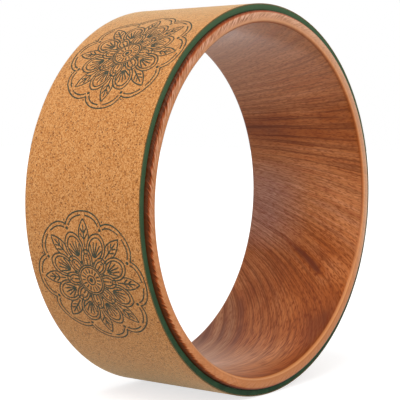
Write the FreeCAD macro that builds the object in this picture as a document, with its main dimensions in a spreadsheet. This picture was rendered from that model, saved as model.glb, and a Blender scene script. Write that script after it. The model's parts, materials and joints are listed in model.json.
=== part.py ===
import FreeCAD, Part
import os

import Sketcher

# Yoga wheel: a rigid moulded hoop with a padded tread strip wrapped round it.
# Millimetres. The origin is the wheel's centre, Y is the axle line and Z is up: the wheel stands on its tread.
# Layers from the inside out: hoop, double-sided tape, foam pad, bonding film, cork cover.

doc = FreeCAD.newDocument("yoga_wheel")

# Driving dimensions
sheet = doc.addObject("Spreadsheet::Sheet", "sizes")
DIMENSIONS = [
    # the hoop, one thick moulding that is open through the middle
    ("bore_radius", 148.9),
    ("hoop_wall", 10.3),
    ("hoop_width", 128.0),
    ("rim_inner_round", 3.0),
    ("rim_outer_round", 2.8),
    # the tape that holds the pad, set back from the tread's edges so that it can't be seen
    ("tape_thickness", 0.2),
    ("tape_setback", 2.0),
    ("tape_seam_gap", 3.0),
    # the tread strip, cut to one width through foam, film and cork, with its two ends butted at one seam
    ("tread_width", 121.4),
    ("foam_thickness", 4.6),
    ("film_thickness", 0.1),
    ("film_setback", 0.4),
    ("cork_thickness", 0.9),
    ("cork_edge_round", 0.3),
    ("tread_seam_gap", 0.4),
    # where the seam is, in degrees about the axle line, counted from the -X side up over the top
    ("seam_place", 282.0),
]
for row, (alias, value) in enumerate(DIMENSIONS, start=1):
    sheet.set(f"A{row}", alias)
    sheet.set(f"B{row}", str(value))
    sheet.setAlias(f"B{row}", alias)
doc.recompute()

# The radii at which the layers meet: each layer lies on the one under it
BORE = "sizes.bore_radius"
HOOP_OUTSIDE = BORE + " + sizes.hoop_wall"
TAPE_OUTSIDE = HOOP_OUTSIDE + " + sizes.tape_thickness"
FOAM_OUTSIDE = TAPE_OUTSIDE + " + sizes.foam_thickness"
FILM_OUTSIDE = FOAM_OUTSIDE + " + sizes.film_thickness"
CORK_OUTSIDE = FILM_OUTSIDE + " + sizes.cork_thickness"


def ring(name, inside, outside, width):
    """A band round the axle line: a rectangular section, centred on the wheel's middle plane, turned about Y."""
    body = doc.addObject("PartDesign::Body", name)
    body.Label = name
    section = body.newObject("Sketcher::SketchObject", name + "_section")
    plane = next(f for f in body.Origin.OriginFeatures if f.Role == "XY_Plane")
    section.AttachmentSupport = [(plane, "")]
    section.MapMode = "FlatFace"

    # The sketch's X is the radius and its Y the axle line. The lines are drawn at the sizes that then hold them.
    inner_radius = sheet.evalExpression(inside)
    outer_radius = sheet.evalExpression(outside)
    half_width = sheet.evalExpression(width) / 2
    corners = [
        FreeCAD.Vector(inner_radius, -half_width),
        FreeCAD.Vector(outer_radius, -half_width),
        FreeCAD.Vector(outer_radius, half_width),
        FreeCAD.Vector(inner_radius, half_width),
    ]
    near_edge, outer_side, far_edge, inner_side = range(4)
    for corner, next_corner in zip(corners, corners[1:] + corners[:1]):
        section.addGeometry(Part.LineSegment(corner, next_corner))
    start, end = 1, 2
    axle_point = (-1, 1)
    middle_line = -1
    for line in range(4):
        section.addConstraint(Sketcher.Constraint("Coincident", line, end, (line + 1) % 4, start))
    for line in (near_edge, far_edge):
        section.addConstraint(Sketcher.Constraint("Horizontal", line))
    section.addConstraint(Sketcher.Constraint("Vertical", outer_side))
    section.addConstraint(Sketcher.Constraint("Symmetric", inner_side, start, inner_side, end, middle_line))
    sized = [
        ("inside", "DistanceX", (*axle_point, near_edge, start), inner_radius, inside),
        ("outside", "DistanceX", (*axle_point, near_edge, end), outer_radius, outside),
        ("width", "DistanceY", (outer_side, start, outer_side, end), 2 * half_width, width),
    ]
    for title, kind, points, value, size in sized:
        number = section.addConstraint(Sketcher.Constraint(kind, *points, value))
        section.renameConstraint(number, title)
        section.setExpression("Constraints." + title, size)

    turned = body.newObject("PartDesign::Revolution", name + "_ring")
    turned.Profile = section
    turned.ReferenceAxis = (section, ["V_Axis"])
    return body, turned


def strip(name, inside, outside, width, gap):
    """A band cut from flat sheet and wrapped round the hoop: an open ring whose ends face each other at the seam."""
    body, turned = ring(name, inside, outside, width)
    turned.Midplane = True
    turned.setExpression("Angle", f"360 - 180 / pi * {gap} / ({outside})")
    axle_line = FreeCAD.Vector(0, 1, 0)
    body.Placement = FreeCAD.Placement(FreeCAD.Vector(), FreeCAD.Rotation(axle_line, sheet.seam_place))
    body.setExpression("Placement.Rotation.Angle", "sizes.seam_place")
    return body, turned


def round_rims(body, base, title, side, size):
    """Rounds the two long edges that run round a band's inside or outside, one at each rim."""
    doc.recompute()
    circles = []
    for number, edge in enumerate(base.Shape.Edges, start=1):
        if isinstance(edge.Curve, Part.Circle):
            circles.append((edge.Curve.Radius, f"Edge{number}"))
    circles.sort()
    two_rims = circles[:2] if side == "inside" else circles[-2:]
    rounded = body.newObject("PartDesign::Fillet", title)
    rounded.Base = (base, [name for radius, name in two_rims])
    rounded.setExpression("Radius", size)
    return rounded


# Hoop: the moulding that carries the load. Its rims stand proud of the tread on both sides, with rounded corners.
hoop, hoop_ring = ring("hoop", BORE, HOOP_OUTSIDE, "sizes.hoop_width")
inner_rounds = round_rims(hoop, hoop_ring, "hoop_inner_rounds", "inside", "sizes.rim_inner_round")
round_rims(hoop, inner_rounds, "hoop_outer_rounds", "outside", "sizes.rim_outer_round")

# Pad tape: double-sided tape round the hoop, under the foam
TAPE_WIDTH = "sizes.tread_width - 2 * sizes.tape_setback"
pad_tape, _ = strip("pad_tape", HOOP_OUTSIDE, TAPE_OUTSIDE, TAPE_WIDTH, "sizes.tape_seam_gap")

# Foam pad: the springy strip that gives the tread its cushioning
foam_pad, _ = strip("foam_pad", TAPE_OUTSIDE, FOAM_OUTSIDE, "sizes.tread_width", "sizes.tread_seam_gap")

# Bonding film: the thin layer of glue that joins the cork to the foam
FILM_WIDTH = "sizes.tread_width - 2 * sizes.film_setback"
bonding_film, _ = strip("bonding_film", FOAM_OUTSIDE, FILM_OUTSIDE, FILM_WIDTH, "sizes.tread_seam_gap")

# Cork cover: the thin sheet of pressed cork on the outside, its two outer edges worn a little round
cork_cover, cork_ring = strip(
    "cork_cover", FILM_OUTSIDE, CORK_OUTSIDE, "sizes.tread_width", "sizes.tread_seam_gap"
)
round_rims(cork_cover, cork_ring, "cork_edge_rounds", "outside", "sizes.cork_edge_round")

doc.recompute()

pieces = [hoop, pad_tape, foam_pad, bonding_film, cork_cover]
for item in doc.Objects:
    if "Invalid" in item.State or "Error" in item.State:
        raise RuntimeError(f"{item.Label} failed: {item.State}")
for piece in pieces:
    if piece.Shape.isNull() or not piece.Shape.isValid() or len(piece.Shape.Solids) != 1:
        raise RuntimeError(f"{piece.Label} isn't one valid solid")

os.makedirs("parts", exist_ok=True)
for piece in pieces:
    piece.Shape.exportStep(f"parts/{piece.Label}.step")
    box = piece.Shape.optimalBoundingBox(False)
    print(
        f"{piece.Label}: {piece.Shape.Volume / 1000:.2f} cm3, "
        f"{box.XLength:.2f} x {box.YLength:.2f} x {box.ZLength:.2f} mm"
    )
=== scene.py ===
import json
import math

import bpy
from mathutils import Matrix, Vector


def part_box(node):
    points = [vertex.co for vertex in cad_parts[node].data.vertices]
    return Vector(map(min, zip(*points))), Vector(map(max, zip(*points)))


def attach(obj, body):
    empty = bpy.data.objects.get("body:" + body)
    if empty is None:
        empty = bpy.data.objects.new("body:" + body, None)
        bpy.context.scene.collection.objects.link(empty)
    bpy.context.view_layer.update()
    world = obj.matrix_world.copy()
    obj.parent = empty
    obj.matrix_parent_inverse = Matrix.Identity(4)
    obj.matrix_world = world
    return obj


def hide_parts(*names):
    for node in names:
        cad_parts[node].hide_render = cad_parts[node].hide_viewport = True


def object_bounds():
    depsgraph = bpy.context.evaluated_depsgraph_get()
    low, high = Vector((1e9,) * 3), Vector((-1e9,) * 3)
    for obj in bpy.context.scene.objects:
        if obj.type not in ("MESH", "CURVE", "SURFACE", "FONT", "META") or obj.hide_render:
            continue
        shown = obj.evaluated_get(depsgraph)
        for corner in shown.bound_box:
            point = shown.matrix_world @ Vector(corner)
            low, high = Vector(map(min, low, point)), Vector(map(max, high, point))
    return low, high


# Yoga wheel: a rigid hoop with a wood-look finish, wrapped in green foam and a thin printed cork cover.
# Metres. The origin is the wheel's centre, Y is the axle line towards the far rim, and Z is up.

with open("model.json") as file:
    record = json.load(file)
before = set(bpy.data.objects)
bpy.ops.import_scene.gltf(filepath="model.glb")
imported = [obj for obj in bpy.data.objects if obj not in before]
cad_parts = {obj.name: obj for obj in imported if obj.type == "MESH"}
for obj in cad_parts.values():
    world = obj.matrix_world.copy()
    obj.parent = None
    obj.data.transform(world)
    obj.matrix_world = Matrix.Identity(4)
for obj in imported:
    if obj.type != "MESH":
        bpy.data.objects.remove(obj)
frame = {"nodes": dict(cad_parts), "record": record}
cad_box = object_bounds()

# Hoop
# The ring that carries the load: one thick ABS moulding, open through the middle, with rounded rims.
# Its wood look is a printed film, floated on and lacquered over, that ends at the rims' outer corners.

MM = 0.001


def add_node(tree, kind, inputs=None, stops=(), **settings):
    """Adds a node with its settings. An input, by name or number, takes a value or what links to it."""
    node = tree.nodes.new(kind)
    for title, value in settings.items():
        setattr(node, title, value)
    if stops:
        ramp = node.color_ramp.elements
        ramp.remove(ramp[1])
        for place, shade in stops:
            ramp.new(place).color = shade
        ramp.remove(ramp[0])
    for title, value in (inputs or {}).items():
        live = [socket for socket in node.inputs if socket.enabled]
        socket = live[title] if isinstance(title, int) else next(s for s in live if s.name == title)
        for source in value if isinstance(value, list) else [value]:
            if isinstance(source, bpy.types.Node):
                source = next(output for output in source.outputs if output.enabled)
            if isinstance(source, bpy.types.NodeSocket):
                tree.links.new(source, socket)
            else:
                socket.default_value = source
    return node


def tone(code):
    """An sRGB hex colour as the linear values that a shader takes."""
    channels = [int(code[place:place + 2], 16) / 255 for place in (1, 3, 5)]
    return (*[c / 12.92 if c <= 0.04045 else ((c + 0.055) / 1.055) ** 2.4 for c in channels], 1.0)


def new_finish(name):
    """An empty material, with the tree that its nodes go into."""
    finish = bpy.data.materials.new(name)
    finish.use_nodes = True
    finish.node_tree.nodes.clear()
    return finish, finish.node_tree


def new_shape(name, sizes, result):
    """An empty shape tree with a named input for each size."""
    tree = bpy.data.node_groups.new(name, "GeometryNodeTree")
    for title, kind in sizes.items():
        tree.interface.new_socket(title, in_out="INPUT", socket_type=kind)
    tree.interface.new_socket(result, in_out="OUTPUT", socket_type="NodeSocketGeometry")
    return tree


def made_piece(name, tree, sizes):
    """A piece whose mesh is what a shape tree makes at these sizes."""
    piece = bpy.data.objects.new(name, bpy.data.meshes.new(name))
    bpy.context.scene.collection.objects.link(piece)
    shaping = piece.modifiers.new("shaping", "NODES")
    shaping.node_group = tree
    for socket in tree.interface.items_tree:
        if socket.in_out == "INPUT":
            shaping[socket.identifier] = sizes[socket.name]
    evaluated = piece.evaluated_get(bpy.context.evaluated_depsgraph_get())
    piece.data = bpy.data.meshes.new_from_object(evaluated)
    piece.modifiers.remove(shaping)
    return piece


def radii_of(node):
    """The smallest and largest distance of a CAD node from the axle line."""
    distances = [math.hypot(vertex.co.x, vertex.co.z) for vertex in frame["nodes"][node].data.vertices]
    return min(distances), max(distances)


def facing(tree, way, angle):
    """How far a way from the centre points to a place round the wheel: 1 is there, and -1 is opposite."""
    there = (math.cos(angle), 0, math.sin(angle))
    node = add_node(tree, "ShaderNodeVectorMath", {0: way, 1: there}, operation="DOT_PRODUCT")
    return node.outputs["Value"]


# Every layer of the wheel is a section turned about the axle line. The hoop is a whole ring, and a strip
# wrapped round it stops at both sides of its seam. A knife cut leaves a strip's long edges slightly wavy.
turned = new_shape("turned_layer", {
    "Inside Radius": "NodeSocketFloat",
    "Outside Radius": "NodeSocketFloat",
    "Width": "NodeSocketFloat",
    "Inside Round": "NodeSocketFloat",
    "Outside Round": "NodeSocketFloat",
    "Round Steps": "NodeSocketInt",
    "Row Height": "NodeSocketFloat",
    "Turn Steps": "NodeSocketInt",
    "Seam Place": "NodeSocketFloat",
    "Seam Gap": "NodeSocketFloat",
    "Cut Waviness": "NodeSocketFloat",
    "Wave Length": "NodeSocketFloat",
    "Finish": "NodeSocketMaterial",
}, "Layer")
WELD = 0.002 * MM
SHARP_BEND = math.radians(35)
size = add_node(turned, "NodeGroupInput").outputs
wall = add_node(
    turned, "ShaderNodeMath", {0: size["Outside Radius"], 1: size["Inside Radius"]}, operation="SUBTRACT",
)
middle = add_node(
    turned, "ShaderNodeMath", {0: wall, 1: 0.5, 2: size["Inside Radius"]}, operation="MULTIPLY_ADD",
)
section = add_node(
    turned, "GeometryNodeCurvePrimitiveQuadrilateral", {"Width": wall, "Height": size["Width"]},
)
place = add_node(turned, "GeometryNodeInputPosition")
across_wall = add_node(turned, "ShaderNodeSeparateXYZ", {"Vector": place})
on_inside = add_node(turned, "FunctionNodeCompare", {"A": across_wall, "B": 0.0}, operation="LESS_THAN")
corner = add_node(
    turned, "GeometryNodeSwitch",
    {"Switch": on_inside, "False": size["Outside Round"], "True": size["Inside Round"]}, input_type="FLOAT",
)
rounded = add_node(
    turned, "GeometryNodeFilletCurve",
    {"Curve": section, "Count": size["Round Steps"], "Radius": corner}, mode="POLY",
)
next_point = add_node(turned, "GeometryNodeOffsetPointInCurve", {"Offset": 1})
next_place = add_node(
    turned, "GeometryNodeFieldAtIndex",
    {"Index": next_point.outputs["Point Index"], "Value": place}, data_type="FLOAT_VECTOR",
)
side = add_node(turned, "ShaderNodeVectorMath", {0: place, 1: next_place}, operation="DISTANCE")
rows = add_node(turned, "ShaderNodeMath", {0: side, 1: size["Row Height"]}, operation="DIVIDE")
rows_down = add_node(turned, "ShaderNodeMath", {0: rows}, operation="FLOOR")
profile = add_node(turned, "GeometryNodeSubdivideCurve", {"Curve": rounded, "Cuts": rows_down})
seam_angle = add_node(
    turned, "ShaderNodeMath", {0: size["Seam Gap"], 1: size["Outside Radius"]}, operation="DIVIDE",
)
start = add_node(
    turned, "ShaderNodeMath", {0: seam_angle, 1: 0.5, 2: size["Seam Place"]}, operation="MULTIPLY_ADD",
)
sweep = add_node(turned, "ShaderNodeMath", {0: math.tau, 1: seam_angle}, operation="SUBTRACT")
ring = add_node(
    turned, "GeometryNodeCurvePrimitiveCircle", {"Resolution": size["Turn Steps"], "Radius": middle},
)
wrap = add_node(
    turned, "GeometryNodeCurveArc",
    {"Resolution": size["Turn Steps"], "Radius": middle, "Start Angle": start, "Sweep Angle": sweep},
)
has_seam = add_node(
    turned, "FunctionNodeCompare", {"A": size["Seam Gap"], "B": 0.0}, operation="GREATER_THAN",
)
path = add_node(
    turned, "GeometryNodeSwitch", {"Switch": has_seam, "False": ring, "True": wrap}, input_type="GEOMETRY",
)
swept = add_node(
    turned, "GeometryNodeCurveToMesh", {"Curve": path, "Profile Curve": profile, "Fill Caps": True},
)
closed = add_node(turned, "GeometryNodeMergeByDistance", {"Geometry": swept, "Distance": WELD})
upright = add_node(turned, "GeometryNodeTransform", {"Geometry": closed, "Rotation": (math.pi / 2, 0, 0)})
waves = add_node(turned, "ShaderNodeMath", {0: 1.0, 1: size["Wave Length"]}, operation="DIVIDE")
cut = add_node(turned, "ShaderNodeTexNoise", {"Vector": place, "Scale": waves, "Detail": 1.0})
depth = add_node(turned, "ShaderNodeMath", {0: cut, 1: size["Cut Waviness"]}, operation="MULTIPLY")
along_axle = add_node(turned, "ShaderNodeSeparateXYZ", {"Vector": place})
edge_share = add_node(
    turned, "ShaderNodeMath", {0: along_axle.outputs["Y"], 1: size["Width"]}, operation="DIVIDE",
)
inwards = add_node(turned, "ShaderNodeMath", {0: edge_share, 1: -2.0}, operation="MULTIPLY")
move = add_node(turned, "ShaderNodeMath", {0: inwards, 1: depth}, operation="MULTIPLY")
offset = add_node(turned, "ShaderNodeCombineXYZ", {"Y": move})
trimmed = add_node(turned, "GeometryNodeSetPosition", {"Geometry": upright, "Offset": offset})
smooth = add_node(turned, "GeometryNodeSetShadeSmooth", {"Geometry": trimmed, "Shade Smooth": True})
bend = add_node(turned, "GeometryNodeInputMeshEdgeAngle")
sharp = add_node(
    turned, "FunctionNodeCompare", {"A": bend.outputs["Unsigned Angle"], "B": SHARP_BEND},
    operation="GREATER_THAN",
)
edged = add_node(
    turned, "GeometryNodeSetShadeSmooth",
    {"Geometry": smooth, "Selection": sharp, "Shade Smooth": False}, domain="EDGE",
)
real = add_node(turned, "GeometryNodeRealizeInstances", {"Geometry": edged})
finished = add_node(turned, "GeometryNodeSetMaterial", {"Geometry": real, "Material": size["Finish"]})
add_node(turned, "NodeGroupOutput", {"Layer": finished})

BORE_RADIUS = next(m for m in frame["record"]["mounts"] if m["name"] == "bore")["dims"]["r_mm"] * MM
HOOP_OUTSIDE = radii_of("hoop")[1]
HOOP_WIDTH = 2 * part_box("hoop")[1].y
RIM_INNER_ROUND = 3.0 * MM
RIM_OUTER_ROUND = 2.8 * MM

# Printed wood film under satin lacquer: flat-sawn figure with broad arches, soft dark bands, fine growth
# lines and short dark pores along them, in red-browns, and a clear sheen that pales it at a glancing angle.
wood, tree = new_finish("wood_grain_film_lacquered")
spot = add_node(tree, "ShaderNodeTexCoord").outputs["Object"]
axes = add_node(tree, "ShaderNodeSeparateXYZ", {"Vector": spot}).outputs
spoke = add_node(tree, "ShaderNodeVectorMath", {0: spot, 1: (1, 0, 1)}, operation="MULTIPLY")
radius = add_node(tree, "ShaderNodeVectorMath", {0: spoke}, operation="LENGTH").outputs["Value"]
spoke_way = add_node(tree, "ShaderNodeVectorMath", {0: spoke}, operation="NORMALIZE")
around = add_node(tree, "ShaderNodeVectorMath", {0: spoke_way, "Scale": BORE_RADIUS}, operation="SCALE")
beyond_bore = add_node(tree, "ShaderNodeMath", {0: radius, 1: BORE_RADIUS}, operation="SUBTRACT")
which_rim = add_node(tree, "ShaderNodeMath", {0: axes["Y"]}, operation="SIGN")
film_run = add_node(
    tree, "ShaderNodeMath", {0: beyond_bore, 1: which_rim, 2: axes["Y"]}, operation="MULTIPLY_ADD",
)
along = add_node(tree, "ShaderNodeCombineXYZ", {"Y": film_run})
film_place = add_node(tree, "ShaderNodeVectorMath", {0: around, 1: along}, operation="ADD")

# How far a spot is across the grain, as in a board sawn flat from a log: arches over the lowest line of the
# hoop and, the other way up, over its top, with straight grain between them, drawn closer at the far rim.
ARCH_MIDDLE = math.radians(-78)
ARCH_LEAN = 0.22
NARROWING = 4.2
WANDER = 45 * MM
WANDER_REACH = 3 * MM
arch_facing = facing(tree, spoke_way, ARCH_MIDDLE)
arch = add_node(tree, "ShaderNodeMath", {0: arch_facing, 1: ARCH_LEAN}, operation="ADD")
narrow = add_node(tree, "ShaderNodeMath", {0: film_run, 1: NARROWING}, operation="MULTIPLY")
spread = add_node(tree, "ShaderNodeMath", {0: narrow}, operation="EXPONENT")
drawn_in = add_node(tree, "ShaderNodeMath", {0: arch, 1: spread}, operation="MULTIPLY")
wander = add_node(tree, "ShaderNodeTexNoise", {"Vector": film_place, "Scale": 1 / WANDER, "Detail": 1.0})
wander_way = add_node(tree, "ShaderNodeMath", {0: wander, 1: WANDER_REACH}, operation="MULTIPLY")
across = add_node(
    tree, "ShaderNodeMath", {0: drawn_in, 1: BORE_RADIUS, 2: wander_way}, operation="MULTIPLY_ADD",
)

# Each layer of the figure: how wide across the grain and how long along it, with the noise's detail.
# Real growth lines and pores are finer, and would not show.
FIGURE = {
    "patches": (26 * MM, 50 * MM, 1.0),
    "bands": (4 * MM, 60 * MM, 2.0),
    "lines": (1.7 * MM, 110 * MM, 1.0),
    "dashes": (0.9 * MM, 45 * MM, 1.0),
    "pores": (0.9 * MM, 5 * MM, 1.0),
}
layers = {}
for name, (grain_width, grain_length, detail) in FIGURE.items():
    steps_across = add_node(tree, "ShaderNodeMath", {0: across, 1: 1 / grain_width}, operation="MULTIPLY")
    first_axis = add_node(tree, "ShaderNodeCombineXYZ", {"X": steps_across})
    grain_place = add_node(
        tree, "ShaderNodeVectorMath", {0: film_place, 1: (1 / grain_length,) * 3, 2: first_axis},
        operation="MULTIPLY_ADD",
    )
    layers[name] = add_node(
        tree, "ShaderNodeTexNoise",
        {"Vector": grain_place, "Scale": 1.0, "Detail": detail, "Roughness": 0.6},
    )
band_tone = add_node(tree, "ShaderNodeValToRGB", {"Fac": layers["bands"]}, stops=[
    (0.3, tone("#bc7048")),
    (0.5, tone("#ca8452")),
    (0.7, tone("#da966a")),
])

# the heartwood's dark bands: a place across the grain in millimetres, and how dark it is, near and far
HEARTWOOD = [
    (-70, 0.0, 0.0),
    (-50, 0.35, 0.0),
    (-16, 0.45, 0.35),
    (-8, 0.75, 0.85),
    (8, 0.78, 0.87),
    (18, 0.5, 0.5),
    (38, 0.42, 0.4),
    (54, 0.1, 0.0),
    (80, 0.25, 0.0),
    (98, 0.6, 0.15),
    (118, 0.75, 0.35),
    (130, 0.95, 0.2),
    (141, 0.85, 0.7),
    (152, 0.6, 0.6),
    (174, 0.4, 0.75),
    (186, 0.2, 0.65),
    (195, 0.9, 0.9),
    (203, 0.0, 0.0),
    (210, 0.9, 0.9),
    (216, 0.0, 0.0),
    (222, 0.9, 0.9),
]
FIRST_PLACE = HEARTWOOD[0][0]
LAST_PLACE = HEARTWOOD[-1][0]
heart_place = add_node(
    tree, "ShaderNodeMapRange",
    {"Value": across, "From Min": FIRST_PLACE * MM, "From Max": LAST_PLACE * MM},
)
heart_sides = [
    add_node(tree, "ShaderNodeValToRGB", {"Fac": heart_place}, stops=[
        ((stop[0] - FIRST_PLACE) / (LAST_PLACE - FIRST_PLACE), (stop[rim], stop[rim], stop[rim], 1.0))
        for stop in HEARTWOOD
    ])
    for rim in (1, 2)
]
# across the middle of the width, the near side's bands turn into those of the far side
NEAR_END = -25 * MM
FAR_START = 35 * MM
far_share = add_node(
    tree, "ShaderNodeMapRange", {"Value": film_run, "From Min": NEAR_END, "From Max": FAR_START},
)
heart = add_node(
    tree, "ShaderNodeMix",
    {"Factor": far_share, "A": heart_sides[0], "B": heart_sides[1]}, data_type="RGBA",
)
heart_share = add_node(
    tree, "ShaderNodeMapRange",
    {"Value": layers["patches"], "From Min": 0.3, "From Max": 0.6, "To Min": 0.6},
)
heart_bands = add_node(tree, "ShaderNodeMath", {0: heart, 1: heart_share}, operation="MULTIPLY")

# one band swells into a dark flame, drawn out towards the far rim and round at its near end
FLAME_PLACE = 117.5 * MM
FLAME_MIDDLE = -21 * MM
FLAME_WIDTH = 6 * MM
FLAME_NEAR = 18 * MM
FLAME_FAR = 85 * MM
flame_off = add_node(
    tree, "ShaderNodeMath", {0: drawn_in, 1: BORE_RADIUS / FLAME_WIDTH, 2: -FLAME_PLACE / FLAME_WIDTH},
    operation="MULTIPLY_ADD",
)
flame_near = add_node(
    tree, "ShaderNodeMath", {0: film_run, 1: -1 / FLAME_NEAR, 2: FLAME_MIDDLE / FLAME_NEAR},
    operation="MULTIPLY_ADD",
)
flame_far = add_node(
    tree, "ShaderNodeMath", {0: film_run, 1: 1 / FLAME_FAR, 2: -FLAME_MIDDLE / FLAME_FAR},
    operation="MULTIPLY_ADD",
)
flame_along = add_node(tree, "ShaderNodeMath", {0: flame_near, 1: flame_far}, operation="MAXIMUM")
flame_place = add_node(tree, "ShaderNodeCombineXYZ", {"X": flame_off, "Y": flame_along})
flame_reach = add_node(tree, "ShaderNodeVectorMath", {0: flame_place}, operation="LENGTH").outputs["Value"]
flame_edge = add_node(
    tree, "ShaderNodeMath", {0: layers["bands"], 1: 1.0, 2: flame_reach}, operation="MULTIPLY_ADD",
)
flame_body = add_node(
    tree, "ShaderNodeMapRange", {"Value": flame_edge, "From Min": 1.9, "From Max": 0.8},
)
flame_fade = add_node(
    tree, "ShaderNodeMapRange", {"Value": film_run, "From Min": FAR_START, "From Max": 0.0, "To Min": 0.35},
)
flame = add_node(tree, "ShaderNodeMath", {0: flame_body, 1: flame_fade}, operation="MULTIPLY")
heart_dark = add_node(tree, "ShaderNodeMath", {0: heart_bands, 1: flame}, operation="MAXIMUM")
heart_tone = add_node(tree, "ShaderNodeValToRGB", {"Fac": heart_dark}, stops=[
    (0.3, tone("#be6c30")),
    (0.7, tone("#a0501a")),
    (1.0, tone("#5e2004")),
])
heart_cover = add_node(
    tree, "ShaderNodeMapRange", {"Value": heart_dark, "From Max": 0.6, "To Max": 0.9},
)
heartwood = add_node(
    tree, "ShaderNodeMix", {"Factor": heart_cover, "A": band_tone, "B": heart_tone}, data_type="RGBA",
)

# the wood is greyer over the lower arch, partly a darker grey wood and partly painted sheen, and towards the
# far rim, where the grey is painted sheen
SHEEN_GREY_START = -5 * MM
arch_grey_and_sheen = add_node(
    tree, "ShaderNodeMapRange",
    {"Value": across, "From Min": 185 * MM, "From Max": 205 * MM, "To Max": 0.45},
)
far_sheen_grey = add_node(
    tree, "ShaderNodeMapRange",
    {"Value": film_run, "From Min": SHEEN_GREY_START, "From Max": HOOP_WIDTH / 2, "To Max": 0.24},
)
grey_and_sheen_share = add_node(tree, "ShaderNodeMath", {0: arch_grey_and_sheen, 1: far_sheen_grey}, operation="MAXIMUM")
banded = add_node(
    tree, "ShaderNodeMix", {"Factor": grey_and_sheen_share, "A": heartwood, "B": tone("#745b4c")}, data_type="RGBA",
)

# half-way up on the right, a pale patch towards the far rim is painted sheen, a soft reflection in the
# lacquer
SHEEN_PATCH_MIDDLE = math.radians(-6)
SHEEN_PATCH_FULL = 40 * MM
sheen_patch_facing = facing(tree, spoke_way, SHEEN_PATCH_MIDDLE)
sheen_patch_round = add_node(
    tree, "ShaderNodeMapRange", {"Value": sheen_patch_facing, "From Min": 0.95, "From Max": 0.997},
)
sheen_patch_far = add_node(
    tree, "ShaderNodeMapRange",
    {"Value": film_run, "From Min": SHEEN_GREY_START, "From Max": SHEEN_PATCH_FULL, "To Max": 0.5},
)
sheen_patch_share = add_node(tree, "ShaderNodeMath", {0: sheen_patch_round, 1: sheen_patch_far}, operation="MULTIPLY")
with_sheen_patch = add_node(
    tree, "ShaderNodeMix", {"Factor": sheen_patch_share, "A": banded, "B": tone("#a08280")}, data_type="RGBA",
)

# long growth lines in the straight grain and on the arch's far side, shorter dashes over the lower arch, and
# pores everywhere
STRAIGHT_END = 45 * MM
ARCH_START = 110 * MM
line_dark = add_node(
    tree, "ShaderNodeMapRange",
    {"Value": layers["lines"], "From Min": 0.46, "From Max": 0.66, "To Max": 0.9},
)
line_share = add_node(tree, "ShaderNodeMapRange", {"Value": heart_dark, "To Min": 0.35})
line_far = add_node(tree, "ShaderNodeMapRange", {"Value": far_share, "To Min": 0.4, "To Max": 0.95})
line_region = add_node(
    tree, "ShaderNodeMapRange",
    {"Value": across, "From Min": STRAIGHT_END, "From Max": ARCH_START, "To Min": 1.0, "To Max": line_far},
)
line_kept = add_node(tree, "ShaderNodeMath", {0: line_share, 1: line_region}, operation="MULTIPLY")
line_shown = add_node(tree, "ShaderNodeMath", {0: line_dark, 1: line_kept}, operation="MULTIPLY")
lined = add_node(
    tree, "ShaderNodeMix", {"Factor": line_shown, "A": with_sheen_patch, "B": tone("#562002")}, data_type="RGBA",
)
dash_dark = add_node(
    tree, "ShaderNodeMapRange", {"Value": layers["dashes"], "From Min": 0.46, "From Max": 0.66},
)
dash_share = add_node(
    tree, "ShaderNodeMapRange",
    {"Value": across, "From Min": STRAIGHT_END, "From Max": ARCH_START, "To Min": 0.1, "To Max": 0.48},
)
dash_shown = add_node(tree, "ShaderNodeMath", {0: dash_dark, 1: dash_share}, operation="MULTIPLY")
dashed = add_node(
    tree, "ShaderNodeMix", {"Factor": dash_shown, "A": lined, "B": tone("#642804")}, data_type="RGBA",
)
pore_dark = add_node(
    tree, "ShaderNodeMapRange", {"Value": layers["pores"], "From Min": 0.46, "From Max": 0.68},
)
pore_far = add_node(tree, "ShaderNodeMapRange", {"Value": far_share, "To Min": 0.9, "To Max": 0.55})
pore_share = add_node(
    tree, "ShaderNodeMapRange",
    {"Value": across, "From Min": 60 * MM, "From Max": 190 * MM, "To Min": 0.6, "To Max": pore_far},
)
pore_shown = add_node(tree, "ShaderNodeMath", {0: pore_dark, 1: pore_share}, operation="MULTIPLY")
pored = add_node(
    tree, "ShaderNodeMix", {"Factor": pore_shown, "A": dashed, "B": tone("#702c08")}, data_type="RGBA",
)

# over the upper arch, the figure runs out into a pale tone that is painted sheen, a glancing reflection
upper_sheen_share = add_node(
    tree, "ShaderNodeMapRange",
    {"Value": across, "From Min": -15 * MM, "From Max": -95 * MM, "To Max": 0.5},
)
with_upper_sheen = add_node(
    tree, "ShaderNodeMix", {"Factor": upper_sheen_share, "A": pored, "B": tone("#c89c80")}, data_type="RGBA",
)

# along the lowest line, the lower arch is painted lighter from the near rim inwards: painted light and sheen
BOTTOM_LIGHT_MIDDLE = math.radians(-97)
bottom_light_facing = facing(tree, spoke_way, BOTTOM_LIGHT_MIDDLE)
bottom_light_round = add_node(
    tree, "ShaderNodeMapRange", {"Value": bottom_light_facing, "From Min": 0.86, "From Max": 0.99},
)
bottom_light_near = add_node(
    tree, "ShaderNodeMapRange", {"Value": film_run, "From Min": -60 * MM, "From Max": 0.0, "To Max": 0.5},
)
bottom_light_share = add_node(tree, "ShaderNodeMath", {0: bottom_light_round, 1: bottom_light_near}, operation="MULTIPLY")
grained = add_node(
    tree, "ShaderNodeMix", {"Factor": bottom_light_share, "A": with_upper_sheen, "B": tone("#d8a076")}, data_type="RGBA",
)

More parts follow.
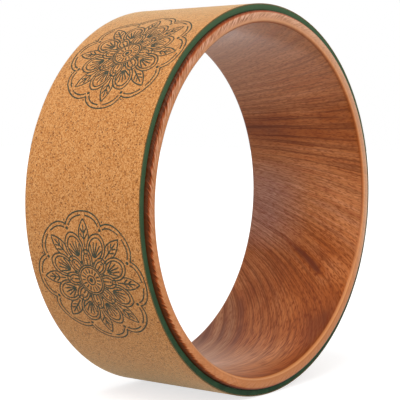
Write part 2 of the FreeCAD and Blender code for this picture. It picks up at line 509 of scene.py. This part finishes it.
# Over the rim, the film is stretched: orange below and at the left, and at the upper right paler outside,
# which is painted sheen, with a thin dark line at the inner corner. The light stripe on the inner round in
# the orange tones is a painted highlight. Each stop is a distance beyond the bore in millimetres, how much
# of the figure it hides, and the two tones.
RIM_STOPS = [
    (0.0, 0.0, "#b8703a", "#7c3a10"),
    (0.25, 0.7, "#c07a44", "#7c3a10"),
    (0.9, 0.75, "#d08c56", "#a05422"),
    (1.5, 0.75, "#da9a66", "#cc844e"),
    (2.4, 0.7, "#c87e48", "#e2a070"),
    (4.0, 0.65, "#d88c50", "#da9c72"),
    (7.0, 0.65, "#d4884c", "#e4b48e"),
]
RIM_REACH = RIM_STOPS[-1][0]
# painted sheen: the rim's tones turn paler round the upper right
RIM_SHEEN_MIDDLE = math.radians(50)
rim_sheen_facing = facing(tree, spoke_way, RIM_SHEEN_MIDDLE)
rim_sheen_share = add_node(tree, "ShaderNodeMapRange", {"Value": rim_sheen_facing, "From Min": 0.1, "From Max": 0.55})
rim_place = add_node(tree, "ShaderNodeMapRange", {"Value": beyond_bore, "From Max": RIM_REACH * MM})
orange_rim = add_node(
    tree, "ShaderNodeValToRGB", {"Fac": rim_place},
    stops=[(place / RIM_REACH, tone(orange)) for place, share, orange, pale in RIM_STOPS],
)
sheen_rim = add_node(
    tree, "ShaderNodeValToRGB", {"Fac": rim_place},
    stops=[(place / RIM_REACH, tone(pale)) for place, share, orange, pale in RIM_STOPS],
)
rim_tone = add_node(
    tree, "ShaderNodeMix", {"Factor": rim_sheen_share, "A": orange_rim, "B": sheen_rim}, data_type="RGBA",
)
rim_share = add_node(
    tree, "ShaderNodeValToRGB", {"Fac": rim_place},
    stops=[(place / RIM_REACH, (share, share, share, 1.0)) for place, share, orange, pale in RIM_STOPS],
)
rim_film = add_node(
    tree, "ShaderNodeMix", {"Factor": rim_share, "A": grained, "B": rim_tone}, data_type="RGBA",
)

# round the upper left, the stretched film tears into fine slanting streaks, by turns pale and dark
STREAK = 1.6 * MM
STREAK_SLANT = -1.5 / BORE_RADIUS
STREAK_BREAK = 0.35
slant = add_node(tree, "ShaderNodeMath", {0: beyond_bore, 1: STREAK_SLANT}, operation="MULTIPLY")
slanted = add_node(
    tree, "ShaderNodeVectorRotate", {"Vector": around, "Angle": slant}, rotation_type="Y_AXIS",
)
streak_end = add_node(tree, "ShaderNodeVectorMath", {0: along, "Scale": STREAK_BREAK}, operation="SCALE")
streak_place = add_node(tree, "ShaderNodeVectorMath", {0: slanted, 1: streak_end}, operation="ADD")
streaks = add_node(
    tree, "ShaderNodeTexNoise", {"Vector": streak_place, "Scale": 1 / STREAK, "Detail": 2.0},
)
streak_tone = add_node(tree, "ShaderNodeValToRGB", {"Fac": streaks}, stops=[
    (0.38, tone("#e6b29a")),
    (0.5, tone("#c88a66")),
    (0.62, tone("#7e3c1e")),
])
on_rim = add_node(
    tree, "ShaderNodeMapRange", {"Value": beyond_bore, "From Min": 2.6 * MM, "From Max": 5.0 * MM},
)
TORN_MIDDLE = math.radians(128)
torn_share = add_node(tree, "ShaderNodeMapRange", {
    "Value": facing(tree, spoke_way, TORN_MIDDLE),
    "From Min": 0.4,
    "From Max": 0.95,
    "To Min": 0.12,
    "To Max": 0.7,
})
torn_rim = add_node(tree, "ShaderNodeMath", {0: on_rim, 1: torn_share}, operation="MULTIPLY")
streaked = add_node(
    tree, "ShaderNodeMix", {"Factor": torn_rim, "A": rim_film, "B": streak_tone}, data_type="RGBA",
)

# painted shade: the film darkens down the outer corner towards the foam, and round the left, the side in
# shade, from farther in, with a ragged edge from its streaks
LEFT_SHADE_MIDDLE = math.radians(190)
left_shade_facing = facing(tree, spoke_way, LEFT_SHADE_MIDDLE)
left_shade_share = add_node(tree, "ShaderNodeMapRange", {"Value": left_shade_facing, "From Min": 0.3, "From Max": 0.9})
ragged = add_node(tree, "ShaderNodeMapRange", {
    "Value": streaks,
    "From Min": 0.35,
    "From Max": 0.65,
    "To Min": 0.1 * MM,
    "To Max": 1.9 * MM,
})
ragged_shade_reach = add_node(
    tree, "ShaderNodeMath", {0: ragged, 1: left_shade_share, 2: beyond_bore}, operation="MULTIPLY_ADD",
)
corner_shade = add_node(
    tree, "ShaderNodeMapRange", {"Value": ragged_shade_reach, "From Min": 8.0 * MM, "From Max": 10.3 * MM},
)
corner_shade_tone = add_node(tree, "ShaderNodeValToRGB", {"Fac": corner_shade}, stops=[
    (0.0, tone("#b0602c")),
    (0.5, tone("#8e3a06")),
    (0.8, tone("#702800")),
    (1.0, tone("#3c1200")),
])
corner_shade_share = add_node(
    tree, "ShaderNodeMapRange", {"Value": corner_shade, "From Max": 0.5, "To Max": 0.92},
)
wood_tone = add_node(
    tree, "ShaderNodeMix", {"Factor": corner_shade_share, "A": streaked, "B": corner_shade_tone}, data_type="RGBA",
)

# the lacquer: a faint orange peel, duller where the pores are, and thin down the outer corner, over the
# painted shade there
PEEL = 5 * MM
PEEL_DEPTH = 0.015 * MM
peel = add_node(tree, "ShaderNodeTexNoise", {"Vector": film_place, "Scale": 1 / PEEL})
peel_bump = add_node(tree, "ShaderNodeBump", {"Height": peel, "Strength": 1.0, "Distance": PEEL_DEPTH})
lacquer_rough = add_node(
    tree, "ShaderNodeMapRange", {"Value": layers["pores"], "To Min": 0.36, "To Max": 0.52},
)
lacquer_weight = add_node(
    tree, "ShaderNodeMapRange", {"Value": corner_shade, "To Min": 0.85, "To Max": 0.1},
)
surface = add_node(tree, "ShaderNodeBsdfPrincipled", {
    "Base Color": wood_tone,
    "Roughness": lacquer_rough,
    "Normal": peel_bump,
    "IOR": 1.5,
    "Specular IOR Level": 0.05,
    "Coat Weight": lacquer_weight,
    "Coat Roughness": 0.22,
    "Coat IOR": 1.2,
})
add_node(tree, "ShaderNodeOutputMaterial", {"Surface": surface})

hoop = made_piece("hoop_with_film", turned, {
    "Inside Radius": BORE_RADIUS,
    "Outside Radius": HOOP_OUTSIDE,
    "Width": HOOP_WIDTH,
    "Inside Round": RIM_INNER_ROUND,
    "Outside Round": RIM_OUTER_ROUND,
    "Round Steps": 9,
    "Row Height": 4 * MM,
    "Turn Steps": 360,
    "Seam Place": 0.0,
    "Seam Gap": 0.0,
    "Cut Waviness": 0.0,
    "Wave Length": 1.0,
    "Finish": wood,
})
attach(hoop, "root")
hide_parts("hoop")

# Pad tape
# Double-sided tape round the hoop: a film of clear acrylic adhesive on a thin white carrier.
# It holds the tread strip and can only be seen at the strip's seam.

TACK = 3 * MM
TACK_DEPTH = 0.05 * MM

# Acrylic adhesive, as coated: a milky film on white, a little mottled and with a soft shine.
tape, tree = new_finish("acrylic_tape_adhesive")
spot = add_node(tree, "ShaderNodeTexCoord").outputs["Object"]
tack = add_node(tree, "ShaderNodeTexNoise", {"Vector": spot, "Scale": 1 / TACK, "Detail": 2.0})
tape_tone = add_node(tree, "ShaderNodeValToRGB", {"Fac": tack}, stops=[
    (0.3, tone("#cfcabb")),
    (0.7, tone("#e4e1d6")),
])
tape_bump = add_node(tree, "ShaderNodeBump", {"Height": tack, "Distance": TACK_DEPTH})
surface = add_node(tree, "ShaderNodeBsdfPrincipled", {
    "Base Color": tape_tone,
    "Roughness": 0.35,
    "Normal": tape_bump,
})
add_node(tree, "ShaderNodeOutputMaterial", {"Surface": surface})
frame["nodes"]["pad_tape"].material_slots[0].material = tape

# Foam pad
# The springy strip under the cork: closed-cell TPE foam, dyed dark green and slit from sheet with a knife.
# It is stuck round the hoop with its ends pressed together at one seam, and only its cut edges show.

# underneath: the CAD counts 282 degrees from the left over the top, and this shape counts from the right
SEAM_PLACE = math.radians(180 - 282)
FOAM_SEAM_GAP = 0.05 * MM
CUT_WAVINESS = 0.25 * MM
CUT_WAVE = 14 * MM
TREAD_WIDTH = 2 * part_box("foam_pad")[1].y

# Dyed TPE foam, knife-cut: a matte skin of fine opened cells, a little mottled, and painted paler towards
# the
# top: painted light and sheen.
# Real cells are about a fifth of a millimetre wide, and are drawn coarser here so that they show.
CELL = 0.7 * MM
CELL_DEPTH = 0.12 * MM
MOTTLE = 9 * MM
LIT_TOP_MIDDLE = math.radians(108)
foam, tree = new_finish("tpe_foam_cut")
spot = add_node(tree, "ShaderNodeTexCoord").outputs["Object"]
cells = add_node(tree, "ShaderNodeTexVoronoi", {"Vector": spot, "Scale": 1 / CELL})
mottle = add_node(tree, "ShaderNodeTexNoise", {"Vector": spot, "Scale": 1 / MOTTLE, "Detail": 3.0})
cell_light = add_node(tree, "ShaderNodeMath", {0: cells, 1: 0.35, 2: mottle}, operation="MULTIPLY_ADD")
foam_tone = add_node(tree, "ShaderNodeValToRGB", {"Fac": cell_light}, stops=[
    (0.4, tone("#122715")),
    (0.65, tone("#1c371f")),
    (0.9, tone("#2b482c")),
])
# painted light and sheen: the foam's edge is paler towards the top and darker opposite it
spot_way = add_node(tree, "ShaderNodeVectorMath", {0: spot}, operation="NORMALIZE")
lit_top_facing = facing(tree, spot_way, LIT_TOP_MIDDLE)
painted_light_share = add_node(
    tree, "ShaderNodeMapRange",
    {"Value": lit_top_facing, "From Min": -0.6, "From Max": 1.0, "To Max": 0.78},
)
foam_painted_light_tone = add_node(
    tree, "ShaderNodeMix", {"Factor": painted_light_share, "A": foam_tone, "B": tone("#476242")}, data_type="RGBA",
)
cell_bump = add_node(tree, "ShaderNodeBump", {"Height": cells, "Distance": CELL_DEPTH})
surface = add_node(tree, "ShaderNodeBsdfPrincipled", {
    "Base Color": foam_painted_light_tone,
    "Roughness": 0.85,
    "Specular IOR Level": 0.3,
    "Normal": cell_bump,
})
add_node(tree, "ShaderNodeOutputMaterial", {"Surface": surface})

foam_inside, foam_outside = radii_of("foam_pad")
foam_pad = made_piece("foam_pad_strip", turned, {
    "Inside Radius": foam_inside,
    "Outside Radius": foam_outside,
    "Width": TREAD_WIDTH,
    "Inside Round": 0.5 * MM,
    "Outside Round": 0.15 * MM,
    "Round Steps": 3,
    "Row Height": 10 * MM,
    "Turn Steps": 540,
    "Seam Place": SEAM_PLACE,
    "Seam Gap": FOAM_SEAM_GAP,
    "Cut Waviness": CUT_WAVINESS,
    "Wave Length": CUT_WAVE,
    "Finish": foam,
})
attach(foam_pad, "root")
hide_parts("foam_pad")

# Bonding film
# The thin layer of amber glue, rolled on, that joins the cork to the foam.
# It is set back from the cut edges and can only be seen at the seam.

ROLLER = 6 * MM
ROLLER_DEPTH = 0.04 * MM

# Contact glue, rolled on and dried: amber, blotched by the roller, with a dull shine.
glue, tree = new_finish("rolled_glue_film")
spot = add_node(tree, "ShaderNodeTexCoord").outputs["Object"]
rolled = add_node(tree, "ShaderNodeTexNoise", {"Vector": spot, "Scale": 1 / ROLLER, "Detail": 3.0})
glue_tone = add_node(tree, "ShaderNodeValToRGB", {"Fac": rolled}, stops=[
    (0.3, tone("#b99a5e")),
    (0.7, tone("#d8c08a")),
])
glue_bump = add_node(tree, "ShaderNodeBump", {"Height": rolled, "Distance": ROLLER_DEPTH})
surface = add_node(tree, "ShaderNodeBsdfPrincipled", {
    "Base Color": glue_tone,
    "Roughness": 0.4,
    "Normal": glue_bump,
})
add_node(tree, "ShaderNodeOutputMaterial", {"Surface": surface})
frame["nodes"]["bonding_film"].material_slots[0].material = glue

# Cork cover
# The sheet that hands and back rest on: fine cork granules pressed with a binder and sliced thin.
# It is glued over the foam and cut with it, and its outer edges are worn a little round.

# the cork is modelled this much thinner, so that the ink on it stays within the sheet's real size
INK_ROOM = 0.07 * MM
CORK_EDGE_ROUND = 0.3 * MM
CORK_SEAM_GAP = 0.4 * MM
cork_inside, cork_reach = radii_of("cork_cover")
CORK_OUTSIDE = cork_reach - INK_ROOM

# Pressed cork: small tan granules of many tones with scattered dark bark flecks, and a dull dusty sheen.
# The knife leaves its cut edges dark. The pattern is a group, because the print on the cork shows it too.
GRANULE = 1.0 * MM
GRANULE_DEPTH = 0.15 * MM
CRUMB = 0.62 * MM
FLECK = 1.4 * MM
SHEET_MOTTLE = 26 * MM
CUT_EDGE = TREAD_WIDTH / 2 - 0.4 * MM
cork_look = bpy.data.node_groups.new("pressed_cork_pattern", "ShaderNodeTree")
cork_look.interface.new_socket("Tone", in_out="OUTPUT", socket_type="NodeSocketColor")
cork_look.interface.new_socket("Height", in_out="OUTPUT", socket_type="NodeSocketFloat")
spot = add_node(cork_look, "ShaderNodeTexCoord").outputs["Object"]
granules = add_node(cork_look, "ShaderNodeTexVoronoi", {"Vector": spot, "Scale": 1 / GRANULE})
granule_shade = add_node(cork_look, "ShaderNodeSeparateColor", {"Color": granules.outputs["Color"]})
crumbs = add_node(
    cork_look, "ShaderNodeTexNoise", {"Vector": spot, "Scale": 1 / CRUMB, "Detail": 2.0, "Roughness": 0.6},
)
sheet = add_node(
    cork_look, "ShaderNodeTexNoise", {"Vector": spot, "Scale": 1 / SHEET_MOTTLE, "Detail": 2.0},
)
granule_mix = add_node(
    cork_look, "ShaderNodeMath",
    {0: granule_shade.outputs["Red"], 1: 0.4, 2: crumbs}, operation="MULTIPLY_ADD",
)
sheet_mix = add_node(
    cork_look, "ShaderNodeMath", {0: sheet, 1: 0.06, 2: granule_mix}, operation="MULTIPLY_ADD",
)
granule_tone = add_node(cork_look, "ShaderNodeValToRGB", {"Fac": sheet_mix}, stops=[
    (0.4, tone("#8e5126")),
    (0.56, tone("#ad6c34")),
    (0.72, tone("#c07f42")),
    (0.9, tone("#d1985f")),
])
flecks = add_node(cork_look, "ShaderNodeTexVoronoi", {"Vector": spot, "Scale": 1 / FLECK})
fleck_pick = add_node(cork_look, "ShaderNodeSeparateColor", {"Color": flecks.outputs["Color"]})
fleck_reach = add_node(
    cork_look, "ShaderNodeMath", {0: fleck_pick.outputs["Green"], 1: 4.0}, operation="POWER",
)
fleck_dark = add_node(
    cork_look, "ShaderNodeMapRange",
    {"Value": flecks, "From Min": fleck_reach, "From Max": 0.0, "To Max": 1.1},
)
flecked = add_node(
    cork_look, "ShaderNodeMix",
    {"Factor": fleck_dark, "A": granule_tone, "B": tone("#663008")}, data_type="RGBA",
)
axes = add_node(cork_look, "ShaderNodeSeparateXYZ", {"Vector": spot}).outputs
off_middle = add_node(cork_look, "ShaderNodeMath", {0: axes["Y"]}, operation="ABSOLUTE")
edge_dark = add_node(
    cork_look, "ShaderNodeMapRange",
    {"Value": off_middle, "From Min": CUT_EDGE - 0.2 * MM, "From Max": CUT_EDGE + 0.1 * MM, "To Max": 0.85},
)
cork_tone = add_node(
    cork_look, "ShaderNodeMix", {"Factor": edge_dark, "A": flecked, "B": tone("#4c4326")}, data_type="RGBA",
)
cork_height = add_node(cork_look, "ShaderNodeMath", {0: crumbs, 1: fleck_dark}, operation="SUBTRACT")
add_node(cork_look, "NodeGroupOutput", {"Tone": cork_tone, "Height": cork_height})

cork, tree = new_finish("pressed_cork_sheet")
pattern = add_node(tree, "ShaderNodeGroup", node_tree=cork_look)
cork_bump = add_node(
    tree, "ShaderNodeBump", {"Height": pattern.outputs["Height"], "Distance": GRANULE_DEPTH},
)
surface = add_node(tree, "ShaderNodeBsdfPrincipled", {
    "Base Color": pattern.outputs["Tone"],
    "Roughness": 0.82,
    "Specular IOR Level": 0.1,
    "Sheen Weight": 0.95,
    "Sheen Roughness": 0.4,
    "Sheen Tint": tone("#ffe4b8"),
    "Normal": cork_bump,
})
add_node(tree, "ShaderNodeOutputMaterial", {"Surface": surface})

cork_cover = made_piece("cork_cover_strip", turned, {
    "Inside Radius": cork_inside,
    "Outside Radius": CORK_OUTSIDE,
    "Width": TREAD_WIDTH,
    "Inside Round": 0.05 * MM,
    "Outside Round": CORK_EDGE_ROUND,
    "Round Steps": 4,
    "Row Height": 10 * MM,
    "Turn Steps": 540,
    "Seam Place": SEAM_PLACE,
    "Seam Gap": CORK_SEAM_GAP,
    "Cut Waviness": CUT_WAVINESS,
    "Wave Length": CUT_WAVE,
    "Finish": cork,
})
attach(cork_cover, "root")
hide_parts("cork_cover")

# Printed rosettes
# A row of round ornaments screen-printed on the cork in one dark ink, before the sheet is wrapped.
# The ink film lies on the granules, so its lines are slightly uneven and thin in places.

# Each stroke is one curve from the rosette's middle outwards, in millimetres: x to the side and y outwards.
# It has its copies per petal, its turn in petals, whether it is mirrored, its weight and its four points.
STROKES = [
    # rays round the middle
    (2, 0.0, False, 0.9, (0, 5.8), (0, 7.0), (0, 8.2), (0, 9.6)),
    # inner row: round arches, one inside the other, with a stem
    (1, 0.0, True, 1.1, (0, 25.5), (5.2, 25.5), (6.8, 18.5), (4.4, 12.8)),
    (1, 0.0, True, 0.8, (0, 22.3), (3.2, 22.3), (4.3, 17.5), (2.6, 13.2)),
    (1, 0.0, False, 0.8, (0, 13.5), (0, 15.0), (0, 16.5), (0, 18.2)),
    # middle row: broad petals between the arches, with a second outline and a fan of veins
    (1, 0.5, True, 1.3, (0, 41.5), (7.5, 40.5), (12.0, 31.0), (7.0, 21.5)),
    (1, 0.5, True, 0.8, (0, 38.2), (5.8, 37.4), (9.0, 30.5), (5.2, 22.6)),
    (1, 0.5, False, 0.7, (0, 21.0), (0, 25.0), (0, 29.0), (0, 34.5)),
    (1, 0.5, True, 0.7, (0.6, 21.5), (1.4, 25.5), (2.4, 29.0), (3.4, 33.2)),
    (1, 0.5, True, 0.7, (1.2, 21.5), (2.8, 24.5), (4.6, 27.0), (6.0, 30.0)),
    # outer row: narrow leaves in line with the arches, each with a midrib and two pairs of side veins
    (1, 0.0, True, 1.2, (0, 50.0), (4.0, 45.0), (6.2, 38.5), (4.6, 33.0)),
    (1, 0.0, False, 0.7, (0, 27.5), (0, 33.0), (0, 39.0), (0, 45.5)),
    (1, 0.0, True, 0.7, (0, 34.0), (1.2, 35.0), (2.6, 36.4), (3.6, 38.4)),
    (1, 0.0, True, 0.7, (0, 38.5), (1.0, 39.4), (2.2, 40.8), (2.9, 42.4)),
    # edging: scallops that meet over the middle row
    (1, 0.0, True, 1.0, (0, 56.0), (9.0, 56.0), (16.5, 52.5), (18.6, 44.9)),
    (1, 0.0, True, 0.7, (2.2, 52.8), (8.5, 52.0), (13.8, 49.4), (15.6, 44.0)),
]
# rings about the middle: radius and weight
RINGS = [(3.9, 0.9), (11.0, 1.2), (12.8, 0.8)]
PETALS = 8
# dots: copies per petal, turn in petals, distance from the middle, radius; the middle one is single
DOTS = [
    (1 / PETALS, 0.0, 0.0, 2.0),
    (1, 0.0, 20.2, 0.9),
    (1, 0.5, 16.0, 1.3),
    (1, 0.5, 45.2, 1.4),
    (1, 0.5, 49.0, 1.0),
    (1, 0.5, 52.2, 0.7),
]
INK_HEIGHT = 0.05 * MM
LINE_WIDTH = 1.2 * MM
UNEVENNESS = 2.5 * MM
ROSETTES = 5
FIRST_ROSETTE = math.radians(-20.2)
ROSETTE_PITCH = math.radians(67.4)
PRINT_OFFSET = -2.4 * MM

printed = new_shape("printed_rosettes", {
    "Petals": "NodeSocketInt",
    "Line Width": "NodeSocketFloat",
    "Ink Height": "NodeSocketFloat",
    "Line Step": "NodeSocketFloat",
    "Rosettes": "NodeSocketInt",
    "First Place": "NodeSocketFloat",
    "Pitch": "NodeSocketFloat",
    "Offset": "NodeSocketFloat",
    "Tread Radius": "NodeSocketFloat",
    "Ink": "NodeSocketMaterial",
}, "Print")
size = add_node(printed, "NodeGroupInput").outputs
number = add_node(printed, "GeometryNodeInputIndex")


def round_the_middle(shape, copies, turn):
    """Copies of a shape round the rosette's middle, turned by a share of the space between two petals."""
    count = add_node(printed, "ShaderNodeMath", {0: size["Petals"], 1: copies}, operation="MULTIPLY")
    points = add_node(printed, "GeometryNodePoints", {"Count": count})
    step = add_node(printed, "ShaderNodeMath", {0: math.tau, 1: count}, operation="DIVIDE")
    turned_number = add_node(printed, "ShaderNodeMath", {0: number, 1: turn}, operation="ADD")
    turn_angle = add_node(printed, "ShaderNodeMath", {0: turned_number, 1: step}, operation="MULTIPLY")
    turning = add_node(printed, "ShaderNodeCombineXYZ", {"Z": turn_angle})
    return add_node(
        printed, "GeometryNodeInstanceOnPoints", {"Points": points, "Instance": shape, "Rotation": turning},
    )


drawn_lines = []
for copies, turn, mirrored, weight, *points in STROKES:
    ends = {
        title: (x * MM, y * MM, 0)
        for title, (x, y) in zip(("Start", "Start Handle", "End Handle", "End"), points)
    }
    line = add_node(printed, "GeometryNodeCurvePrimitiveBezierSegment", {"Resolution": 16, **ends})
    if mirrored:
        other = add_node(printed, "GeometryNodeTransform", {"Geometry": line, "Scale": (-1, 1, 1)})
        line = add_node(printed, "GeometryNodeJoinGeometry", {"Geometry": [line, other]})
    inked = add_node(printed, "GeometryNodeSetCurveRadius", {"Curve": line, "Radius": weight})
    drawn_lines.append(round_the_middle(inked, copies, turn))
for ring_radius, weight in RINGS:
    line = add_node(
        printed, "GeometryNodeCurvePrimitiveCircle", {"Resolution": 64, "Radius": ring_radius * MM},
    )
    drawn_lines.append(add_node(printed, "GeometryNodeSetCurveRadius", {"Curve": line, "Radius": weight}))
drawn_dots = []
for copies, turn, distance, dot_radius in DOTS:
    dot = add_node(
        printed, "GeometryNodeMeshCylinder",
        {"Vertices": 14, "Radius": dot_radius * MM, "Depth": size["Ink Height"]},
    )
    outwards = add_node(
        printed, "GeometryNodeTransform", {"Geometry": dot, "Translation": (0, distance * MM, 0)},
    )
    drawn_dots.append(round_the_middle(outwards, copies, turn))
all_lines = add_node(printed, "GeometryNodeJoinGeometry", {"Geometry": drawn_lines})
lone_lines = add_node(printed, "GeometryNodeRealizeInstances", {"Geometry": all_lines})
even_lines = add_node(
    printed, "GeometryNodeResampleCurve", {"Curve": lone_lines, "Length": size["Line Step"]}, mode="LENGTH",
)
place = add_node(printed, "GeometryNodeInputPosition")
uneven = add_node(printed, "ShaderNodeTexNoise", {"Vector": place, "Scale": 1 / UNEVENNESS})
thin_or_thick = add_node(printed, "ShaderNodeMapRange", {"Value": uneven, "To Min": 0.65, "To Max": 1.35})
own_weight = add_node(printed, "GeometryNodeInputRadius")
pressed_weight = add_node(
    printed, "ShaderNodeMath", {0: own_weight, 1: thin_or_thick}, operation="MULTIPLY",
)
pressed_lines = add_node(
    printed, "GeometryNodeSetCurveRadius", {"Curve": even_lines, "Radius": pressed_weight},
)
nib = add_node(
    printed, "GeometryNodeCurvePrimitiveQuadrilateral",
    {"Width": size["Line Width"], "Height": size["Ink Height"]},
)
ink_lines = add_node(
    printed, "GeometryNodeCurveToMesh", {"Curve": pressed_lines, "Profile Curve": nib, "Fill Caps": True},
)
rosette = add_node(printed, "GeometryNodeJoinGeometry", {"Geometry": [ink_lines, *drawn_dots]})
row = add_node(printed, "GeometryNodePoints", {"Count": size["Rosettes"]})
row_angle = add_node(
    printed, "ShaderNodeMath",
    {0: number, 1: size["Pitch"], 2: size["First Place"]}, operation="MULTIPLY_ADD",
)
row_way = add_node(printed, "ShaderNodeMath", {0: row_angle, 1: size["Tread Radius"]}, operation="MULTIPLY")
row_place = add_node(printed, "ShaderNodeCombineXYZ", {"X": row_way, "Y": size["Offset"]})
row_set = add_node(printed, "GeometryNodeSetPosition", {"Geometry": row, "Position": row_place})
copies_in_row = add_node(printed, "GeometryNodeInstanceOnPoints", {"Points": row_set, "Instance": rosette})
flat_print = add_node(printed, "GeometryNodeRealizeInstances", {"Geometry": copies_in_row})

# the flat print is wrapped on the tread: its length runs round the wheel and its height stands off the cork
flat_axes = add_node(printed, "ShaderNodeSeparateXYZ", {"Vector": place}).outputs
wrap_angle = add_node(
    printed, "ShaderNodeMath", {0: flat_axes["X"], 1: size["Tread Radius"]}, operation="DIVIDE",
)
ink_middle = add_node(
    printed, "ShaderNodeMath",
    {0: size["Ink Height"], 1: 0.5, 2: size["Tread Radius"]}, operation="MULTIPLY_ADD",
)
off_axle = add_node(printed, "ShaderNodeMath", {0: ink_middle, 1: flat_axes["Z"]}, operation="ADD")
wrap_cos = add_node(printed, "ShaderNodeMath", {0: wrap_angle}, operation="COSINE")
wrap_sin = add_node(printed, "ShaderNodeMath", {0: wrap_angle}, operation="SINE")
back_off = add_node(printed, "ShaderNodeMath", {0: off_axle, 1: -1.0}, operation="MULTIPLY")
wrap_x = add_node(printed, "ShaderNodeMath", {0: wrap_cos, 1: back_off}, operation="MULTIPLY")
wrap_z = add_node(printed, "ShaderNodeMath", {0: wrap_sin, 1: off_axle}, operation="MULTIPLY")
wrapped_place = add_node(printed, "ShaderNodeCombineXYZ", {"X": wrap_x, "Y": flat_axes["Y"], "Z": wrap_z})
wrapped = add_node(printed, "GeometryNodeSetPosition", {"Geometry": flat_print, "Position": wrapped_place})
real = add_node(printed, "GeometryNodeRealizeInstances", {"Geometry": wrapped})
finished = add_node(printed, "GeometryNodeSetMaterial", {"Geometry": real, "Material": size["Ink"]})
add_node(printed, "NodeGroupOutput", {"Print": finished})

# Screen ink on cork: a flat dark olive grey, through which granules that took less ink still show.
MISS = 1.6 * MM
INKED_DEPTH = 0.1 * MM
ink, tree = new_finish("screen_ink_on_cork")
spot = add_node(tree, "ShaderNodeTexCoord").outputs["Object"]
pattern = add_node(tree, "ShaderNodeGroup", node_tree=cork_look)
missed = add_node(tree, "ShaderNodeTexNoise", {"Vector": spot, "Scale": 1 / MISS, "Detail": 2.0})
missed_share = add_node(
    tree, "ShaderNodeMapRange", {"Value": missed, "From Min": 0.52, "From Max": 0.75, "To Max": 0.5},
)
ink_tone = add_node(
    tree, "ShaderNodeMix", {"Factor": missed_share, "A": tone("#313829"), "B": pattern.outputs["Tone"]},
    data_type="RGBA",
)
ink_bump = add_node(tree, "ShaderNodeBump", {"Height": pattern.outputs["Height"], "Distance": INKED_DEPTH})
surface = add_node(tree, "ShaderNodeBsdfPrincipled", {
    "Base Color": ink_tone,
    "Roughness": 0.7,
    "Specular IOR Level": 0.3,
    "Normal": ink_bump,
})
add_node(tree, "ShaderNodeOutputMaterial", {"Surface": surface})

print_ink = made_piece("printed_rosettes", printed, {
    "Petals": PETALS,
    "Line Width": LINE_WIDTH,
    "Ink Height": INK_HEIGHT,
    "Line Step": 1.4 * MM,
    "Rosettes": ROSETTES,
    "First Place": FIRST_ROSETTE,
    "Pitch": ROSETTE_PITCH,
    "Offset": PRINT_OFFSET,
    "Tread Radius": CORK_OUTSIDE,
    "Ink": ink,
})
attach(print_ink, "root")

# Studio
# A plain white floor and surround, with a soft light from above and a broad one from the camera's side.
# The camera stands a little above the axle line and looks at the near rim from the left.

FLOOR_REACH = 8.0
floor_mesh = bpy.data.meshes.new("studio_floor")
corners = [(x, y, cad_box[0].z) for x, y in ((-1, -1), (1, -1), (1, 1), (-1, 1))]
floor_mesh.from_pydata([(x * FLOOR_REACH, y * FLOOR_REACH, z) for x, y, z in corners], [], [(0, 1, 2, 3)])
floor = bpy.data.objects.new("studio_floor", floor_mesh)
bpy.context.scene.collection.objects.link(floor)


def seen_share(tree):
    """1 where the camera sees the studio, mirrored or through glass too, and 0 where it only gives light."""
    ray = add_node(tree, "ShaderNodeLightPath").outputs
    seen = add_node(
        tree, "ShaderNodeMath", {0: ray["Is Camera Ray"], 1: ray["Is Glossy Ray"]}, operation="MAXIMUM",
    )
    return add_node(tree, "ShaderNodeMath", {0: seen, 1: ray["Is Transmission Ray"]}, operation="MAXIMUM")


# White paper floor: it is lifted a little where the camera sees it, so that only the wheel's shadow shows.
FLOOR_LIFT = 0.7
paper, tree = new_finish("white_paper_floor")
lift = add_node(tree, "ShaderNodeMath", {0: seen_share(tree), 1: FLOOR_LIFT}, operation="MULTIPLY")
sheet_white = add_node(tree, "ShaderNodeBsdfDiffuse", {"Color": tone("#bebebe")})
glow = add_node(tree, "ShaderNodeEmission", {"Color": tone("#ffffff"), "Strength": lift})
lit = add_node(tree, "ShaderNodeAddShader", {0: sheet_white, 1: glow})
add_node(tree, "ShaderNodeOutputMaterial", {"Surface": lit})
floor_mesh.materials.append(paper)

# White surround: it lights the wheel at half the level at which it shows.
SURROUND_LEVEL = 0.5
surround = bpy.data.worlds.new("white_surround")
surround.use_nodes = True
tree = surround.node_tree
tree.nodes.clear()
level = add_node(
    tree, "ShaderNodeMapRange", {"Value": seen_share(tree), "To Min": SURROUND_LEVEL, "To Max": 1.0},
)
sky = add_node(tree, "ShaderNodeBackground", {"Color": tone("#ffffff"), "Strength": level})
add_node(tree, "ShaderNodeOutputWorld", {"Surface": sky})
bpy.context.scene.world = surround

# each soft light: where it shines from, its strength and how wide it is
LIGHTS = {
    "key_light_above": ((-0.5, -0.08, 1.0), 1.6, math.radians(40)),
    "fill_light": ((-0.8, -0.85, 0.42), 1.72, math.radians(70)),
}
for name, (way, strength, spread) in LIGHTS.items():
    lamp = bpy.data.lights.new(name, "SUN")
    lamp.energy = strength
    lamp.angle = spread
    light = bpy.data.objects.new(name, lamp)
    light.rotation_euler = Vector(way).to_track_quat("Z", "Y").to_euler()
    bpy.context.scene.collection.objects.link(light)

CAMERA_SIDE = math.radians(-52.113)
CAMERA_RISE = math.radians(3.409)
CAMERA_DISTANCE = 1.111078
AIM_RIGHT = -9.629 * MM
AIM_UP = -1.783 * MM
SENSOR = 36.0
LENS = 114.51
back = Vector((
    math.sin(CAMERA_SIDE) * math.cos(CAMERA_RISE),
    -math.cos(CAMERA_SIDE) * math.cos(CAMERA_RISE),
    math.sin(CAMERA_RISE),
))
right = Vector((math.cos(CAMERA_SIDE), math.sin(CAMERA_SIDE), 0))
up = back.cross(right)
target = right * AIM_RIGHT + up * AIM_UP
lens = bpy.data.cameras.new("camera")
lens.sensor_width = SENSOR
lens.lens = LENS
lens.clip_start = 0.05
lens.clip_end = 50
camera = bpy.data.objects.new("camera", lens)
camera.location = back * CAMERA_DISTANCE
camera.rotation_euler = (target - camera.location).to_track_quat("-Z", "Y").to_euler()
bpy.context.scene.collection.objects.link(camera)
bpy.context.scene.camera = camera
bpy.context.scene.view_settings.view_transform = "Standard"
